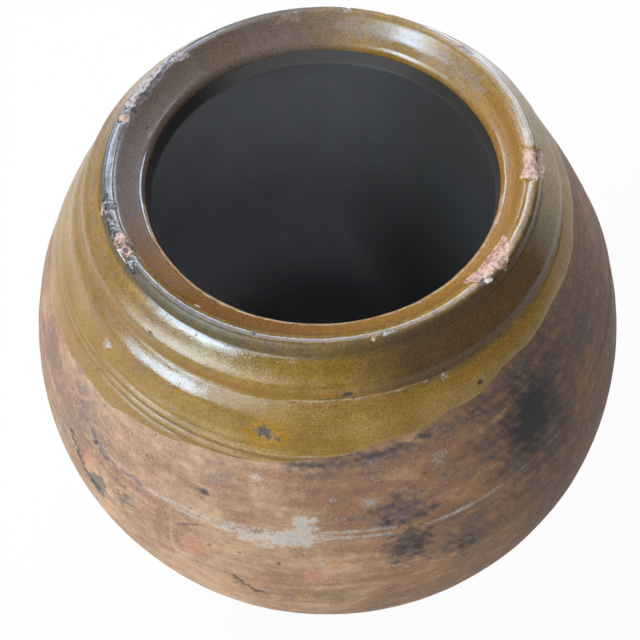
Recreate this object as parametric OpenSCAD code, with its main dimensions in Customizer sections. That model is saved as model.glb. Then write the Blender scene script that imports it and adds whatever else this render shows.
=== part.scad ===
// Olive jar: a wide-bellied earthenware storage jar with a heavy collar and an everted lip.
// It is thrown in sections that key into each other and are luted with slip. Glaze covers the
// lip, the collar and the upper shoulder down to a slanting dip line, and the whole inside.
// Millimetres, +Z up, origin at the middle of the underside.

/* [Body] */
// Height of the jar to the top of the lip
jar_h = 420; // [395:1:450]
// Radius of the belly at its widest
belly_r = 200.5; // [185:0.5:215]
// Height of the widest part of the belly
belly_z = 232; // [205:1:255]
// Thickness of the thrown walls
wall_t = 11; // [8:0.5:14]

/* [Foot] */
// Radius of the foot
foot_r = 95; // [80:1:110]
// Rounding of the foot's lower edge
foot_round = 5; // [3:0.5:8]
// Lean of the wall at the foot, in mm of radius per mm of height
foot_lean = 0.62; // [0.4:0.02:0.8]
// Thickness of the base disc
floor_t = 14; // [10:0.5:18]
// Width of the sweep from the floor up into the wall
floor_sweep = 9; // [4:0.5:20]

/* [Joints] */
// Thickness of the slip in a joint
slip_t = 1.6; // [1:0.1:2.4]
// Depth of the V by which two sections key together
key_d = 3; // [1.5:0.25:4]
// Drop from the top of the lip to the seam between lower wall and shoulder
seam_drop = 89; // [82:1:98]
// Width of the slip band that shows along the seam
band_w = 4; // [3:0.25:6]
// Height of the slip band above the wall
band_h = 0.6; // [0.3:0.1:1.2]

/* [Shoulder] */
// Drop from the top of the lip to the groove under the collar
collar_h = 21; // [19:0.5:24]
// Lean of the shoulder at the groove, in mm of radius per mm of height
collar_lean = 0.86; // [0.7:0.02:1]
// Depth of the groove under the collar
groove_d = 1.4; // [0.6:0.1:2]
// Number of rings incised on the shoulder
rings = 3; // [1:1:3]
// Distance between two rings
ring_pitch = 3.9; // [3:0.1:5]
// Width of a ring
ring_w = 1.4; // [0.8:0.1:2]
// Depth of a ring
ring_d = 0.6; // [0.3:0.1:1]
// Drop from the top of the lip to the highest ring
ring_drop = 41; // [38:0.5:46]

/* [Rim] */
// Radius of the throat, the narrowest part of the mouth
throat_r = 90; // [80:1:100]
// Width of the sloping inner face of the lip, from the throat to the crest
funnel_w = 15; // [13:0.5:18]
// Drop from the top of the lip to the straight throat
funnel_h = 16; // [14:0.5:18]
// Hollow of the sloping inner face
funnel_hollow = 1.2; // [0:0.1:2]
// Rounding of the lip
lip_bead = 4.5; // [3.5:0.25:5.5]
// Height of the lip's edge above the cove
lip_edge_h = 6; // [5:0.25:7]
// Width of the collar, from the throat to the groove
collar_w = 34; // [31:0.5:38]
// Bulge of the collar's roll
collar_roll = 3.2; // [1:0.1:4]
// Place of the roll's crest: below 1 it moves towards the groove
roll_place = 0.72; // [0.6:0.02:1]
// Rounding from the lip's slope into the throat
throat_round = 6; // [4:0.5:7]
// Length of the straight throat
throat_len = 8; // [6:0.5:9]
// Rounding of the throat's lower edge
throat_edge = 3; // [2:0.25:4]

/* [Glaze] */
// Thickness of the outer glaze
glaze_t = 0.8; // [0.5:0.1:1.2]
// Thickness of the inner glaze
inner_glaze_t = 0.6; // [0.4:0.1:1]
// Share of a ring's or groove's depth that still shows in the glaze
glaze_trace = 0.4; // [0.2:0.05:0.6]
// Drop from the top of the lip to the dip line on the jar's axis
dip_drop = 50.4; // [47:0.2:54]
// Slant of the dip line, in degrees
dip_tilt = 7.2; // [0:0.2:8]
// Heading of the dip line's high side, in degrees from +X
dip_heading = -22; // [-180:1:180]
// Angle above the horizontal at which the outer glaze ends inside the lip
glaze_end = 34; // [30:1:40]

/* [Hidden] */
$fn = 96;
// Largest step in height between two points of a wall
wall_step = 12;
// Points in a short curve
curve_n = 8;
// Half of the interval over which a wall's lean is measured
probe = 0.01;
// Normal angle of the lip's sloping inner face
slope_angle = 135;
wall_foot = floor_t + slip_t;
seam_z = jar_h - seam_drop;
groove_z = jar_h - collar_h;
groove_r = throat_r + collar_w;
lip_r = throat_r + funnel_w;
lip_centre = [lip_r, jar_h - lip_bead];
clay_bead = lip_bead - glaze_t;
throat_top = jar_h - funnel_h;
throat_bottom = throat_top - throat_len;
roll_centre = [throat_r + throat_round, throat_top];
edge_centre = [throat_r + throat_edge, throat_bottom];
dip_z = jar_h - dip_drop;
clay = "#a87c5c";
slip = "#c9b7a0";
glaze = "#8a7030";
liner = "#4a4640";

// Radius at height z of the cubic that leaves (r0, z0) with lean m0 and reaches (r1, z1) with lean m1
function lean_curve(z, z0, r0, m0, z1, r1, m1) =
    let (h = z1 - z0, u = (z - z0) / h, s = u * u * (3 - 2 * u))
    r0 * (1 - s) + r1 * s + m0 * h * u * (1 - u) * (1 - u) - m1 * h * u * u * (1 - u);

// Outer radius of the wall at height z
function wall_r(z) = z < belly_z
    ? lean_curve(z, foot_round, foot_r, foot_lean, belly_z, belly_r, 0)
    : lean_curve(z, belly_z, belly_r, 0, groove_z, groove_r, -collar_lean);

function wall_lean(z) = (wall_r(z + probe) - wall_r(z - probe)) / (2 * probe);
function unit(v) = v / norm(v);
function wall_along(z) = unit([wall_lean(z), 1]);
function wall_normal(z) = unit([1, -wall_lean(z)]);
function outside(z) = [wall_r(z), z];
function inside(z) = outside(z) - wall_t * wall_normal(z);

// Point of the V in a joint face that runs from outer height z_out to inner height z_in
function key(z_out, z_in) = (outside(z_out) + inside(z_in)) / 2 - key_d * wall_along((z_out + z_in) / 2);

function heights(z0, z1) =
    let (n = ceil(abs(z1 - z0) / wall_step))
    [for (k = [0:n]) z0 + (z1 - z0) * k / n];
function outer_line(z0, z1) = [for (z = heights(z0, z1)) outside(z)];
function inner_line(z0, z1) = [for (z = heights(z0, z1)) inside(z)];
function arc(centre, r, a0, a1) =
    [for (k = [0:curve_n]) let (a = a0 + (a1 - a0) * k / curve_n) centre + r * [cos(a), sin(a)]];
function bend(a, b, c) =
    [for (k = [0:curve_n]) let (u = k / curve_n) (1 - u) * (1 - u) * a + 2 * u * (1 - u) * b + u * u * c];
function backwards(line) = [for (k = [len(line) - 1:-1:0]) line[k]];
function tail(line) = [for (k = [1:1:len(line) - 1]) line[k]];

// Unit normal at point k of a line, on the right of its run
function line_normal(line, k) =
    let (d = line[min(k + 1, len(line) - 1)] - line[max(k - 1, 0)])
    unit([d[1], -d[0]]);
function coat(line, t) = [for (k = [0:len(line) - 1]) line[k] + t * line_normal(line, k)];

// Heights of the upper two joints' faces, below and above the slip
band_low = seam_z - band_w / 2;
band_high = seam_z + band_w / 2;
seam_low = seam_z - slip_t / 2;
seam_high = seam_z + slip_t / 2;
groove_low = groove_z - slip_t / 2;
groove_high = groove_z + slip_t / 2;

// Shoulder from the seam to the groove: pairs of a height and a share of a ring's depth
function ring_z(k) = jar_h - ring_drop - k * ring_pitch;
function ring_marks(k) = [[ring_z(k) - ring_w / 2, 0], [ring_z(k), 1], [ring_z(k) + ring_w / 2, 0]];
lowest_ring = ring_z(rings - 1) - ring_w / 2;
highest_ring = ring_z(0) + ring_w / 2;
shoulder_marks = concat(
    [for (z = heights(band_high, lowest_ring)) if (z < lowest_ring - probe) [z, 0]],
    [for (k = [rings - 1:-1:0]) each ring_marks(k)],
    [for (z = heights(highest_ring, groove_low)) if (z > highest_ring + probe) [z, 0]]);
shoulder_outer = [for (m = shoulder_marks) outside(m[0]) - ring_d * m[1] * wall_normal(m[0])];
shoulder_glazed = [for (m = shoulder_marks)
    outside(m[0]) + (glaze_t - glaze_trace * ring_d * m[1]) * wall_normal(m[0])];

// Collar from the groove to the cove under the lip: a slope with a roll on it
cove = [lip_r + clay_bead, jar_h - lip_edge_h];
collar_chord = cove - outside(groove_high);
collar_normal = unit([collar_chord[1], -collar_chord[0]]);
function roll_height(u) = collar_roll * pow(sin(180 * pow(u, roll_place)), 2);
collar_face = [for (k = [0:2 * curve_n]) let (u = k / (2 * curve_n))
    outside(groove_high) + u * collar_chord + roll_height(u) * collar_normal];

// Lip from the cove over the bead and down the slope to the end of the glaze
bead = arc(lip_centre, clay_bead, 0, slope_angle);
roll_top = arc(roll_centre, throat_round, slope_angle, 180 - glaze_end);
bead_end = bead[curve_n];
slope_middle = (bead_end + roll_top[0]) / 2 - funnel_hollow * [cos(slope_angle), sin(slope_angle)];
slope = bend(bead_end, slope_middle, roll_top[0]);
lip = concat(bead, tail(slope), tail(roll_top));
rim_glazed = concat(collar_face, lip);

// Throat and the underside of the rim, down to the inside of the shoulder
throat = concat(tail(arc(roll_centre, throat_round, 180 - glaze_end, 180)),
                arc(edge_centre, throat_edge, 180, 270));
rim_inner_end = inside(groove_high);
edge_end = edge_centre - [0, throat_edge];
underside = bend(edge_end, rim_inner_end + collar_h / 4 * wall_along(groove_high), rim_inner_end);

// Foot of the lower wall, swept in over the base disc
foot_inner = inside(wall_foot);
foot_along = wall_along(wall_foot);
sweep_corner = foot_inner - foot_along * (foot_inner[1] - wall_foot) / foot_along[1];
sweep_end = sweep_corner - [floor_sweep, 0];
sweep = bend(foot_inner, sweep_corner, sweep_end);
slip_end = sweep_end - [slip_t, slip_t];

// Point of the V in the level joint on the base disc, at height z
function foot_key(z) = [(wall_r(floor_t) + sweep_end[0]) / 2, z - key_d];

// The whole inside, from the throat's lower edge to the middle of the floor
inner_skin = concat(underside, tail(inner_line(groove_high, groove_low)), tail(inner_line(groove_low, seam_high)),
                    [inside(seam_low)], tail(inner_line(seam_low, wall_foot)), tail(sweep),
                    [slip_end, [0, floor_t]]);

module turned(outline) rotate_extrude() polygon(outline);

// Clay slab with a rounded foot and a V round its edge for the wall
module base_disc() {
    color(clay) turned(concat(
        [[0, 0]], arc([foot_r - foot_round, foot_round], foot_round, -90, 0),
        tail(outer_line(foot_round, floor_t)), [foot_key(floor_t), slip_end, [0, floor_t]]));
}

// Slip between base disc and lower wall
module base_luting() {
    color(slip) turned([
        outside(floor_t), outside(wall_foot), foot_key(wall_foot), sweep_end, slip_end, foot_key(floor_t)]);
}

// Bowl from the foot over the belly to the seam
module lower_wall() {
    color(clay) turned(concat(
        outer_line(wall_foot, belly_z), tail(outer_line(belly_z, band_low)), [key(band_low, seam_low)],
        inner_line(seam_low, wall_foot), tail(sweep), [foot_key(wall_foot)]));
}

// Slip at the seam, squeezed out into a low band
module shoulder_luting() {
    band_crest = outside(seam_z) + band_h * wall_normal(seam_z);
    color(slip) turned([
        outside(band_low), band_crest, outside(band_high), key(band_high, seam_high), inside(seam_high),
        inside(seam_low), key(band_low, seam_low)]);
}

// Dome from the seam to the groove, with incised rings
module shoulder_wall() {
    color(clay) turned(concat(
        shoulder_outer, [key(groove_low, groove_low)], inner_line(groove_low, seam_high),
        [key(band_high, seam_high)]));
}

// Slip under the collar, drawn in to a groove
module collar_luting() {
    groove_bed = outside(groove_z) - groove_d * wall_normal(groove_z);
    color(slip) turned([
        outside(groove_low), groove_bed, outside(groove_high), key(groove_high, groove_high), inside(groove_high),
        inside(groove_low), key(groove_low, groove_low)]);
}

// Heavy rim: collar, everted lip and throat in one
module rim_collar() {
    color(clay) turned(concat(rim_glazed, throat, tail(underside), [key(groove_high, groove_high)]));
}

// Everything below the slanting dip line
module below_dip_line() {
    reach = 2 * belly_r;
    rotate([0, 0, dip_heading]) translate([0, 0, dip_z]) rotate([0, -dip_tilt, 0])
        translate([0, 0, -jar_h]) cylinder(r = reach, h = jar_h);
}

// Glaze over shoulder, collar and lip, ending at the dip line
module outer_glaze() {
    groove_bed = outside(groove_z) - groove_d * wall_normal(groove_z);
    groove_glazed = outside(groove_z) + (glaze_t - glaze_trace * groove_d) * wall_normal(groove_z);
    color(glaze) difference() {
        turned(concat(
            shoulder_outer, [groove_bed], rim_glazed, backwards(coat(rim_glazed, glaze_t)),
            [groove_glazed], backwards(shoulder_glazed)));
        below_dip_line();
    }
}

// Glaze over the whole inside
module inner_glaze() {
    color(liner) turned(concat(inner_skin, backwards(coat(inner_skin, inner_glaze_t))));
}

base_disc();
base_luting();
lower_wall();
shoulder_luting();
shoulder_wall();
collar_luting();
rim_collar();
outer_glaze();
inner_glaze();
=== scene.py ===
"""Looks of the olive jar: thrown terracotta, an olive glaze over the rim and a grey glaze inside with painted
shade.
"""
import logging
import math
from dataclasses import dataclass, field, replace
from enum import Enum
from functools import cached_property, partial

import bpy
import numpy as np
from mathutils import Matrix, Vector


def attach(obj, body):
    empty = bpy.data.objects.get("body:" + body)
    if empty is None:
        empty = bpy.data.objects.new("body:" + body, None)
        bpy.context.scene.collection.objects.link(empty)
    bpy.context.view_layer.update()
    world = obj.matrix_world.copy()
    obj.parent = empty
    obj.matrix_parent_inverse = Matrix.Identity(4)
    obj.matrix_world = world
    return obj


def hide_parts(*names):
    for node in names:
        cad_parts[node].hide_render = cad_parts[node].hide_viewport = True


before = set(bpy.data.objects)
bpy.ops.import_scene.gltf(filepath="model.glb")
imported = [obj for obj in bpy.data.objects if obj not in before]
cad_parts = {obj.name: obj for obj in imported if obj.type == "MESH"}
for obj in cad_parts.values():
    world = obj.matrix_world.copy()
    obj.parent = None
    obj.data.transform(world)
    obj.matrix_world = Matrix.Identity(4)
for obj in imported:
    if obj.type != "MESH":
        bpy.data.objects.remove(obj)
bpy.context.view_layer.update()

log = logging.getLogger("olive_jar")
MM = 0.001
# Hidden points of an outline lie this far from every mark, in mm along the skin
FAR = 5000.0


def to_linear(code: str) -> tuple[float, float, float, float]:
    """Turn an sRGB hex colour into a linear one.

    Args:
        code: colour as "#rrggbb".
    Returns:
        Linear red, green, blue and an alpha of one.
    """
    parts = [int(code[k:k + 2], 16) / 255 for k in (1, 3, 5)]
    linear = [p / 12.92 if p <= 0.04045 else ((p + 0.055) / 1.055) ** 2.4 for p in parts]
    return (linear[0], linear[1], linear[2], 1.0)


def per_mm(size: float) -> float:
    """Scale of a pattern on Object coordinates whose features are size mm across."""
    return 1.0 / (size * MM)


def add(tree: bpy.types.NodeTree, kind: str, sockets: dict | None = None, out: int | str = 0,
        **settings: object) -> bpy.types.NodeSocket | None:
    """Add a node with its settings and links.

    Args:
        tree: node tree that takes the node.
        kind: Blender's name of the node's type, which may leave out "ShaderNode".
        sockets: input name or number, with the value it is set to or the socket it is linked to.
        out: name or number of the output that is handed back.
        settings: the node's own properties.
    Returns:
        That output, or none if the node has no outputs.
    """
    node = tree.nodes.new(kind if "Node" in kind else "ShaderNode" + kind)
    for name, value in settings.items():
        setattr(node, name, value)
    for key, value in (sockets or {}).items():
        if isinstance(value, bpy.types.NodeSocket):
            tree.links.new(value, node.inputs[key])
        else:
            node.inputs[key].default_value = value
    return node.outputs[out] if node.outputs else None


class Stain(Enum):
    """What a mark leaves on a surface: the name of the attribute that the finishes read."""

    SOOT = "soot"
    LIME = "lime"
    FLAKE = "flake"
    MOSS = "moss"
    PALE = "pale"
    DUSK = "dusk"
    BARE = "bare"
    CHAR = "char"
    GLINT = "glint"
    HALO = "halo"
    PIT = "pit"
    WORN = "worn"
    BUFF = "buff"
    FURROW = "furrow"


@dataclass(frozen=True)
class Lumps:
    """A smooth random field over space that is the same on every run."""

    size: float
    seed: int
    waves: int = 20

    def at(self, points: np.ndarray) -> np.ndarray:
        """Read the field.

        Args:
            points: places in mm, one a row.
        Returns:
            Values about zero with a spread of about one.
        """
        rng = np.random.default_rng(self.seed)
        runs = rng.normal(size=(3, self.waves))
        runs *= rng.uniform(0.6, 1.7, self.waves) * 2 * math.pi / (self.size * np.linalg.norm(runs, axis=0))
        starts = rng.uniform(0, 2 * math.pi, self.waves)
        return np.sin(points @ runs + starts).sum(axis=1) / math.sqrt(self.waves / 2)


def smooth(low: float, high: float, value: np.ndarray) -> np.ndarray:
    """Smooth step from 0 at low to 1 at high."""
    u = np.clip((value - low) / (high - low), 0.0, 1.0)
    return u * u * (3 - 2 * u)


@dataclass(frozen=True)
class JarForm:
    """The jar's turned shape in mm: the same curves and sizes as the part's source."""

    jar_h: float = 420.0
    belly_r: float = 200.5
    belly_z: float = 232.0
    wall_t: float = 11.0
    foot_r: float = 95.0
    foot_round: float = 5.0
    foot_lean: float = 0.62
    floor_t: float = 14.0
    floor_sweep: float = 9.0
    slip_t: float = 1.6
    key_d: float = 3.0
    seam_drop: float = 89.0
    band_w: float = 4.0
    band_h: float = 0.6
    collar_h: float = 21.0
    collar_lean: float = 0.86
    ring_heights: tuple[float, ...] = (379.0, 375.1, 371.2)
    ring_margin: float = 2.0
    throat_r: float = 90.0
    funnel_w: float = 15.0
    funnel_h: float = 16.0
    funnel_hollow: float = 1.2
    clay_bead: float = 3.7
    lip_bead: float = 4.5
    lip_edge_h: float = 6.0
    collar_w: float = 34.0
    collar_roll: float = 3.2
    roll_place: float = 0.72
    throat_round: float = 6.0
    throat_len: float = 8.0
    throat_edge: float = 3.0

    @property
    def seam_z(self) -> float:
        """Height of the seam on the shoulder."""
        return self.jar_h - self.seam_drop

    @property
    def groove_z(self) -> float:
        """Height of the groove under the collar."""
        return self.jar_h - self.collar_h

    @property
    def wall_foot(self) -> float:
        """Height at which the lower wall starts."""
        return self.floor_t + self.slip_t

    @property
    def ring_span(self) -> tuple[float, float]:
        """Distances along the skin that frame the incised rings, the lower one first."""
        low, high = self.ring_heights[-1] - self.ring_margin, self.ring_heights[0] + self.ring_margin
        return self.drop(low), self.drop(high)

    @staticmethod
    def lean_curve(z: np.ndarray, low: tuple[float, ...], high: tuple[float, ...]) -> np.ndarray:
        """Radius on the cubic between two ends, each given as height, radius and lean.

        Args:
            z: heights.
            low: lower end.
            high: upper end.
        Returns:
            Radius at each height.
        """
        h = high[0] - low[0]
        u = (z - low[0]) / h
        s = u * u * (3 - 2 * u)
        ends = low[1] * (1 - s) + high[1] * s
        return ends + low[2] * h * u * (1 - u) ** 2 - high[2] * h * u * u * (1 - u)

    def wall_r(self, z: np.ndarray) -> np.ndarray:
        """Outer radius of the wall at heights z."""
        belly = (self.belly_z, self.belly_r, 0.0)
        foot = (self.foot_round, self.foot_r, self.foot_lean)
        neck = (self.groove_z, self.throat_r + self.collar_w, -self.collar_lean)
        return np.where(z < self.belly_z, self.lean_curve(z, foot, belly), self.lean_curve(z, belly, neck))

    def along_wall(self, z: np.ndarray) -> np.ndarray:
        """Unit vectors up the wall, as (r, z)."""
        lean = (self.wall_r(z + 0.01) - self.wall_r(z - 0.01)) / 0.02
        run = np.stack([lean, np.ones_like(lean)], axis=-1)
        return run / np.linalg.norm(run, axis=-1, keepdims=True)

    def outside(self, z: np.ndarray) -> np.ndarray:
        """Points of the outer wall as (r, z)."""
        z = np.asarray(z, dtype=float)
        return np.stack([self.wall_r(z), z], axis=-1)

    def inside(self, z: np.ndarray) -> np.ndarray:
        """Points of the inner wall as (r, z)."""
        z = np.asarray(z, dtype=float)
        run = self.along_wall(z)
        return self.outside(z) - self.wall_t * np.stack([run[..., 1], -run[..., 0]], axis=-1)

    def key(self, z_out: float, z_in: float) -> np.ndarray:
        """Point of the V in a joint face that runs from outer height z_out to inner height z_in."""
        middle = (self.outside(z_out) + self.inside(z_in)) / 2
        return middle - self.key_d * self.along_wall(np.asarray((z_out + z_in) / 2))

    @staticmethod
    def arc(centre: tuple[float, float], r: float, start: float, end: float, n: int = 40) -> np.ndarray:
        """Points on an arc, with its angles in degrees."""
        a = np.radians(np.linspace(start, end, n))
        return np.array(centre) + r * np.stack([np.cos(a), np.sin(a)], axis=-1)

    @staticmethod
    def bend(a: np.ndarray, b: np.ndarray, c: np.ndarray, n: int = 40) -> np.ndarray:
        """Points on the curve from a to c that is drawn towards b."""
        u = np.linspace(0, 1, n)[:, None]
        return (1 - u) ** 2 * a + 2 * u * (1 - u) * b + u * u * c

    @cached_property
    def foot_inside(self) -> np.ndarray:
        """Sweep from the wall's inside to the floor, as (r, z)."""
        start = self.inside(self.wall_foot)
        run = self.along_wall(np.asarray(self.wall_foot))
        corner = start - run * (start[1] - self.wall_foot) / run[1]
        return self.bend(start, corner, corner - np.array([self.floor_sweep, 0.0]))

    def foot_key(self, z: float) -> np.ndarray:
        """Point of the V in the level joint on the base disc, at height z."""
        middle = (float(self.wall_r(np.asarray(self.floor_t))) + self.foot_inside[-1][0]) / 2
        return np.array([middle, z - self.key_d])

    @cached_property
    def skin(self) -> tuple[np.ndarray, np.ndarray, np.ndarray]:
        """The whole clay skin from the foot over the lip to the middle of the floor.

        Returns:
            Distances along the skin in mm, from the lip's crest and positive down the outside, in
            falling order; the points there as (r, z); and the unit normals there.
        """
        top = self.groove_z + self.slip_t / 2
        wall = self.outside(np.linspace(self.foot_round, top, 900))
        lip_r = self.throat_r + self.funnel_w
        cove = np.array([lip_r + self.clay_bead, self.jar_h - self.lip_edge_h])
        chord = cove - wall[-1]
        across = np.array([chord[1], -chord[0]]) / np.linalg.norm(chord)
        u = np.linspace(0, 1, 90)[:, None]
        roll_rise = self.collar_roll * np.sin(math.pi * u ** self.roll_place) ** 2
        collar = wall[-1] + u * chord + roll_rise * across
        bead = self.arc((lip_r, self.jar_h - self.lip_bead), self.clay_bead, 0, 135)
        roll_centre = (self.throat_r + self.throat_round, self.jar_h - self.funnel_h)
        roll = self.arc(roll_centre, self.throat_round, 135, 180)
        face = np.array([math.cos(math.radians(135)), math.sin(math.radians(135))])
        slope = self.bend(bead[-1], (bead[-1] + roll[0]) / 2 - self.funnel_hollow * face, roll[0])
        edge_z = self.jar_h - self.funnel_h - self.throat_len
        edge = self.arc((self.throat_r + self.throat_edge, edge_z), self.throat_edge, 180, 270)
        inner_top = self.inside(top)
        pull = inner_top + self.collar_h / 4 * self.along_wall(np.asarray(top))
        under = self.bend(edge[-1], pull, inner_top)
        inner = self.inside(np.linspace(top, self.wall_foot, 700))
        end = self.foot_inside[-1] - self.slip_t
        foot = self.arc((self.foot_r - self.foot_round, self.foot_round), self.foot_round, -90, 0)
        line = np.concatenate([foot, wall[1:], collar[1:], bead, slope[1:], roll[1:], edge, under[1:],
                               inner[1:], self.foot_inside[1:], [end, [0.0, self.floor_t]]])
        gaps = np.linalg.norm(np.diff(line, axis=0), axis=1)
        line = self.ease(line[np.concatenate([[True], gaps > 1e-6])], cove)
        run = np.gradient(line, axis=0)
        normal = np.stack([run[:, 1], -run[:, 0]], axis=-1)
        normal /= np.linalg.norm(normal, axis=1, keepdims=True)
        walked = JarForm.walk(line)
        return walked[np.argmax(line[:, 1])] - walked, line, normal

    @staticmethod
    def walk(line: np.ndarray) -> np.ndarray:
        """Distance of each point of a line from its start, along it."""
        return np.concatenate([[0.0], np.cumsum(np.linalg.norm(np.diff(line, axis=0), axis=1))])

    @staticmethod
    def ease(line: np.ndarray, corner: np.ndarray, reach: float = 6.0, spread: float = 1.3) -> np.ndarray:
        """Round off a corner of the skin, as the glaze does that runs into it.

        Args:
            line: the skin's points.
            corner: the corner's place.
            reach: distance along the skin over which it eases, in mm.
            spread: width of the rounding, in mm.
        Returns:
            The eased points.
        """
        walked = JarForm.walk(line)
        away = walked - walked[np.argmin(np.linalg.norm(line - corner, axis=1))]
        near = np.nonzero(np.abs(away) < reach)[0]
        eased = line.copy()
        fine = np.linspace(away[near[0]] - 3 * spread, away[near[-1]] + 3 * spread, 400)
        even = np.stack([np.interp(fine, away, line[:, k]) for k in (0, 1)], axis=-1)
        for k in near:
            weights = np.exp(-((fine - away[k]) / spread) ** 2)
            blend = smooth(reach, reach - 2.5, abs(away[k]))
            eased[k] += blend * (weights @ even / weights.sum() - line[k])
        return eased

    def at(self, drop: np.ndarray) -> tuple[np.ndarray, np.ndarray]:
        """Points and normals of the skin at distances from the lip's crest.

        Args:
            drop: distances along the skin in mm.
        Returns:
            Points and unit normals, each as (r, z).
        """
        known, line, normal = self.skin
        places = [np.interp(-drop, -known, values) for values in (*line.T, *normal.T)]
        out = np.stack(places[2:], axis=-1)
        return np.stack(places[:2], axis=-1), out / np.linalg.norm(out, axis=1, keepdims=True)

    def drop(self, z: float, outer: bool = True) -> float:
        """Distance along the skin from the lip's crest to height z on the outer or the inner wall."""
        known, line, _ = self.skin
        side = known > 0 if outer else known < 0
        heights, distances = line[side][:, 1], known[side]
        order = np.argsort(heights)
        return float(np.interp(z, heights[order], distances[order]))


FORM = JarForm()


@dataclass
class Outline:
    """Closed outline of one turned piece, as rows of points with what the wheel's tree reads."""

    points: list[np.ndarray] = field(default_factory=list)
    outs: list[np.ndarray] = field(default_factory=list)
    drops: list[np.ndarray] = field(default_factory=list)
    shares: list[np.ndarray] = field(default_factory=list)

    def skin(self, stops: tuple[float, ...], steps: tuple[float, ...], lift: float = 0.0,
             share: float = 1.0) -> None:
        """Add a stretch of the jar's skin.

        Args:
            stops: distances from the lip's crest between which the rows are spread.
            steps: spacing of the rows between each two stops, in mm.
            lift: height of the rows above the clay, in mm.
            share: how much of the throwing marks the rows show.
        """
        rows = [np.linspace(a, b, max(2, round(abs(b - a) / s) + 1))[:-1]
                for a, b, s in zip(stops[:-1], stops[1:], steps)]
        drop = np.concatenate([*rows, [stops[-1]]])
        place, out = FORM.at(drop)
        self.points.append(place + lift * out)
        self.outs.append(out)
        self.drops.append(drop)
        self.shares.append(np.full(len(drop), share))

    def hidden(self, *places: np.ndarray) -> None:
        """Add points that stay as they are, inside a joint or on the axis."""
        rows = np.array(places, dtype=float).reshape(-1, 2)
        self.points.append(rows)
        self.outs.append(np.zeros_like(rows))
        self.drops.append(np.full(len(rows), FAR))
        self.shares.append(np.zeros(len(rows)))

    def row(self, name: str) -> bpy.types.Object:
        """Make the outline an object, a row of points with its attributes.

        Args:
            name: name of the object.
        Returns:
            The object, linked to the scene.
        """
        flat, out = np.concatenate(self.points), np.concatenate(self.outs)
        mesh = bpy.data.meshes.new(name)
        mesh.vertices.add(len(flat))
        mesh.vertices.foreach_set("co", np.insert(flat * MM, 1, 0.0, axis=1).astype(np.float32).ravel())
        values = {"out": np.insert(out, 1, 0.0, axis=1), "drop": np.concatenate(self.drops),
                  "share": np.concatenate(self.shares)}
        for label, value in values.items():
            vector = value.ndim == 2
            layer = mesh.attributes.new(label, "FLOAT_VECTOR" if vector else "FLOAT", "POINT")
            layer.data.foreach_set("vector" if vector else "value", value.astype(np.float32).ravel())
        piece = bpy.data.objects.new(name, mesh)
        bpy.context.scene.collection.objects.link(piece)
        return piece


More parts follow.
